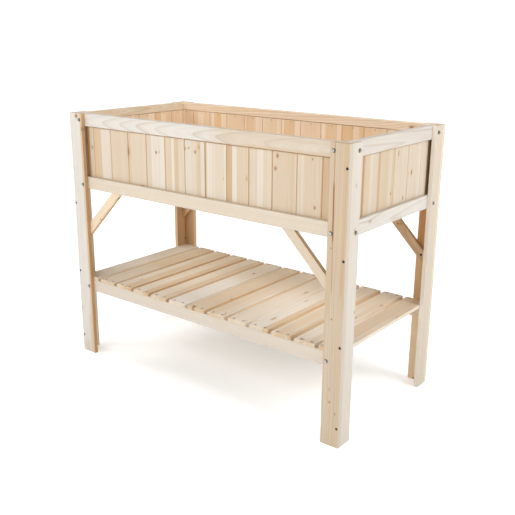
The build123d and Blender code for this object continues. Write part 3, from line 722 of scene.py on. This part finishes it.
def board(node, lay, most=1):
    """Give one board its own fir: chosen where LOOKS has it, drawn by lot where not."""
    rng = random.Random(f"planter {node}")
    low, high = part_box(node)
    centre = centre_of(node)
    middle = lie_point(centre, lay)
    look = dict(
        tone=rng.uniform(-0.8, 0.8),
        pith=(rng.choice((-1, 1)) * rng.uniform(0.02, 0.11), rng.uniform(0.012, 0.060)),
        taper=rng.uniform(-0.03, 0.03),
        spacing=rng.uniform(0.0038, 0.0072),
        bands=rng.uniform(0.45, 0.9),
        lines=rng.uniform(0.35, 0.75),
        tint=usual_tint(node),
    )
    reach = BRACE_REACH
    if lay in LAYS:
        reach = lie_point([(b - a) / 2 for a, b in zip(low, high)], lay)
    knots = placed(KNOTS.get(node, ()), middle)
    for _ in range(0 if node in LOOKS else rng.randint(0, most)):
        knots.append((rng.uniform(-0.9, 0.9) * reach[0], rng.uniform(-0.8, 0.8) * reach[1],
                      rng.uniform(0.0016, 0.0034), rng.uniform(1.2, 2.4), rng.uniform(0.3, 0.8)))
    look.update(LOOKS.get(node, {}))
    if node.startswith("shelf_slat"):
        spread = [centre[0] + way * NAIL_SPREAD for way in (-1, 1)]
        knots += placed([(y, x, *NAIL_MARK) for y in (-NAIL_Y, NAIL_Y) for x in spread], middle)
        # painted shade towards the back of each shelf slat, under the trough
        look["heart_and_shade"] = (*look.get("heart_and_shade", ()), (low[0], high[0], 0.004, 0.50, *SHELF_BACK_SHADE))
    look["heart_and_shade"] = set_in(look.get("heart_and_shade", ()), middle)
    look["resin"] = lined_up(look.get("resin", ()), middle)
    dress(node, fir(node, lay, centre, rng.uniform(0, 500), knots=knots, **look))


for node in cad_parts:
    if node.endswith("_face_board"):
        board(node, "z_x")
    elif node.endswith("_side_board"):
        board(node, "z_y")
    elif node.startswith(("rail_", "shelf_rail", "floor_ledger")):
        board(node, "y_z" if node.endswith(("left", "right")) else "x_z")
    elif node.startswith(("shelf_slat", "floor_board")):
        board(node, "y_x", 2)
    elif node.startswith("brace_"):
        board(node, "rising" if node.endswith("left") else "falling")

WALLS = {  # seed, lay, tint, then the axis, start and way of its slats, and which way is out
    "front": (11.0, "z_x", OUTDOORS, ("X", HALF_X, -1.0, -1.0)),
    "back": (71.0, "z_x", REAR, ("X", HALF_X, -1.0, 1.0)),
    "left": (131.0, "z_y", REAR, ("Y", -HALF_Y, 1.0, -1.0)),
    "right": (191.0, "z_y", OUTDOORS, ("Y", -HALF_Y, 1.0, 1.0)),
}
for side, (seed, lay, tint, wall) in WALLS.items():
    node = f"wall_slats_{side}"
    middle = lie_point(centre_of(node), lay)
    dress(node, fir(node, lay, centre_of(node), seed, bands=0.30, lines=0.30, wander=0.15, tint=tint,
                    edges=(1.0, 1.0), knots=placed(KNOTS[node], middle),
                    heart_and_shade=set_in(WALL_BANDS[side], middle), wall=wall))


# ---------------------------------------------------------------- metal


def metal(name, colour, metallic, rough, grime, slope_shade=None):
    """A dull metal with grime in it; slope is painted shade that darkens it where a head falls away from
    its crown.
    """
    material, t, shader = new_material(name)
    place = t.new("ShaderNodeTexCoord").outputs["Object"]
    cloud = t.noise(place, 260.0, 4.0, 0.6)
    fine = t.noise(place, 2400.0, 2.0, 0.6)
    dirty = tuple(c * grime for c in colour)
    base = t.mix(t.step(cloud, 0.42, 0.72), (*colour, 1.0), (*dirty, 1.0))
    if slope_shade:
        normal = t.split(t.vec("ABSOLUTE", t.new("ShaderNodeNewGeometry").outputs["True Normal"]))
        crown = t.step(t.math("MAXIMUM", normal[0], normal[1]), 0.90, 0.99)
        base = t.mix(crown, (*slope_shade, 1.0), base)
    spread = t.math("MULTIPLY", t.math("SUBTRACT", cloud, 0.5), 0.30)
    bump = t.new("ShaderNodeBump", {"Strength": 0.25, "Distance": 0.1 * MM, "Height": fine})
    shader.inputs["Metallic"].default_value = metallic
    t.plug(shader.inputs["Base Color"], base)
    t.plug(shader.inputs["Roughness"], t.math("ADD", spread, rough, clamp=True))
    t.plug(shader.inputs["Normal"], bump.outputs[0])
    return material


FITTINGS = (
    # The bolt heads darken where they fall away from the crown: painted shade
    (metal("zinc", (0.74, 0.74, 0.70), 1.0, 0.34, 0.70, slope_shade=(0.20, 0.205, 0.19)), ("leg_bolts",)),
    # The washers are near black: painted shadow round the bolt heads
    (metal("washer_zinc_painted_shadow", (0.050, 0.056, 0.048), 0.6, 0.45, 0.60), ("bolt_washers",)),
    (metal("black_oxide", (0.018, 0.017, 0.016), 0.5, 0.48, 0.55),
     ("corner_screws", "brace_foot_screws", "brace_head_screws", "ledger_screws")),
    (metal("nail", (0.070, 0.040, 0.022), 0.2, 0.60, 0.55), ("shelf_nails", "floor_nails", "wall_pins")),
)
for material, nodes in FITTINGS:
    for node in nodes:
        dress(node, material)


# ---------------------------------------------------------------- floor, light, camera

WHITE = (1.0, 1.0, 1.0, 1.0)
FLOOR_RADIUS = 6.0
FLOOR_WHITE = (0.925, 0.940, 0.955, 1.0)
SHADOW_HALF = (0.22, 0.08)  # half sizes of the patch under the planter that isn't lit from below
NEAR_GLOW = (0.28, 0.32)  # how far outside it the floor's own light is full, and how strong
FAR_GLOW = (1.5, 3.2, 0.8)  # and from where to where it grows again, and by how much
DOME = 0.36  # strength of the sky light
DOME_FOOT = (0.12, 0.26)  # where it fades in and out again, by height on a sphere of radius 1
DOME_TOP = (0.66, 0.50)
DOME_WHITE = (1.0, 0.985, 0.965, 1.0)
BACKDROP = 1.2
LAMP_SIZE = 1.8
LAMP_AIM = Vector((0.0, 0.0, 0.40))
LAMPS = (  # name, where it hangs, power in watts
    ("front_left", (-2.2, -2.8, 2.4), 47.5),
    ("front", (0.2, -3.3, 2.3), 52.0),
    ("front_right", (2.4, -2.6, 2.3), 18.0),
    ("right", (3.2, 0.2, 2.2), 70.5),
    ("left", (-3.3, 0.0, 2.3), 40.0),
    ("back", (0.0, 3.2, 2.5), 37.0),
    ("top", (0.0, 0.0, 3.2), 15.0),
)
LENS_MM = 52.643883
SENSOR_MM = 36.0
CAMERA_AT = (1.4185, -1.7629, 1.0556)
CAMERA_WAY = (38.05, -16.94, 0.45)  # turn, tilt and roll in degrees


def studio_floor():
    """A wide white floor, lit a little from below away from the planter, so that no edge shows."""
    bpy.ops.mesh.primitive_circle_add(vertices=96, radius=FLOOR_RADIUS, fill_type="NGON")
    floor = bpy.context.object
    floor.name = "studio_floor"
    material, t, shader = new_material("studio_white")
    shader.inputs["Base Color"].default_value = FLOOR_WHITE
    shader.inputs["Roughness"].default_value = 0.9
    shader.inputs["Specular IOR Level"].default_value = 0.1
    shader.inputs["Emission Color"].default_value = WHITE
    place = t.new("ShaderNodeTexCoord").outputs["Object"]
    along = t.split(t.vec("ABSOLUTE", place))
    past = [t.math("MAXIMUM", t.math("SUBTRACT", along[n], SHADOW_HALF[n]), 0.0) for n in (0, 1)]
    near = t.step(t.vec("LENGTH", t.join(*past, 0.0)), 0.0, NEAR_GLOW[0], to=(0.0, NEAR_GLOW[1]))
    far = t.step(t.vec("LENGTH", place), *FAR_GLOW[:2], to=(0.0, FAR_GLOW[2]))
    t.plug(shader.inputs["Emission Strength"], t.math("ADD", near, far))
    floor.data.materials.append(material)


def studio_world():
    """White behind the object, and a softer dome that lights it."""
    world = bpy.data.worlds.new("studio")
    bpy.context.scene.world = world
    world.use_nodes = True
    t = Tree(world.node_tree)
    t.nodes.clear()
    up = t.split(t.new("ShaderNodeTexCoord").outputs["Generated"])[2]
    power = t.math("MULTIPLY", t.step(up, *DOME_FOOT), t.step(up, *DOME_TOP))
    power = t.math("MULTIPLY", power, DOME)
    light = t.new("ShaderNodeBackground", {"Color": DOME_WHITE, "Strength": power})
    white = t.new("ShaderNodeBackground", {"Color": WHITE, "Strength": BACKDROP})
    seen = t.new("ShaderNodeLightPath").outputs["Is Camera Ray"]
    both = t.new("ShaderNodeMixShader", {0: seen, 1: light.outputs[0], 2: white.outputs[0]})
    t.new("ShaderNodeOutputWorld", {"Surface": both.outputs[0]})


def softbox(name, at, power):
    data = bpy.data.lights.new(name, "AREA")
    data.shape = "RECTANGLE"
    data.size = data.size_y = LAMP_SIZE
    data.energy = power
    lamp = bpy.data.objects.new(name, data)
    lamp.location = at
    lamp.rotation_euler = (LAMP_AIM - Vector(at)).to_track_quat("-Z", "Y").to_euler()
    bpy.context.collection.objects.link(lamp)


def studio_camera():
    data = bpy.data.cameras.new("camera")
    data.sensor_width = SENSOR_MM
    data.lens = LENS_MM
    data.dof.use_dof = False
    camera = bpy.data.objects.new("camera", data)
    bpy.context.collection.objects.link(camera)
    turn, tilt, roll = (math.radians(angle) for angle in CAMERA_WAY)
    level = Vector((math.cos(turn), math.sin(turn), 0.0))
    ahead = Vector((-math.sin(turn), math.cos(turn), 0.0))
    forward = ahead * math.cos(tilt) + Vector((0.0, 0.0, math.sin(tilt)))
    upright = level.cross(forward)
    right = level * math.cos(roll) + upright * math.sin(roll)
    up = upright * math.cos(roll) - level * math.sin(roll)
    matrix = Matrix((right, up, -forward)).transposed().to_4x4()
    matrix.translation = CAMERA_AT
    camera.matrix_world = matrix
    bpy.context.scene.camera = camera


studio_floor()
studio_world()
for name, at, power in LAMPS:
    softbox(name, at, power)
studio_camera()

settings = bpy.context.scene.view_settings
settings.view_transform = "Standard"
settings.look = "None"
settings.exposure = 0.0
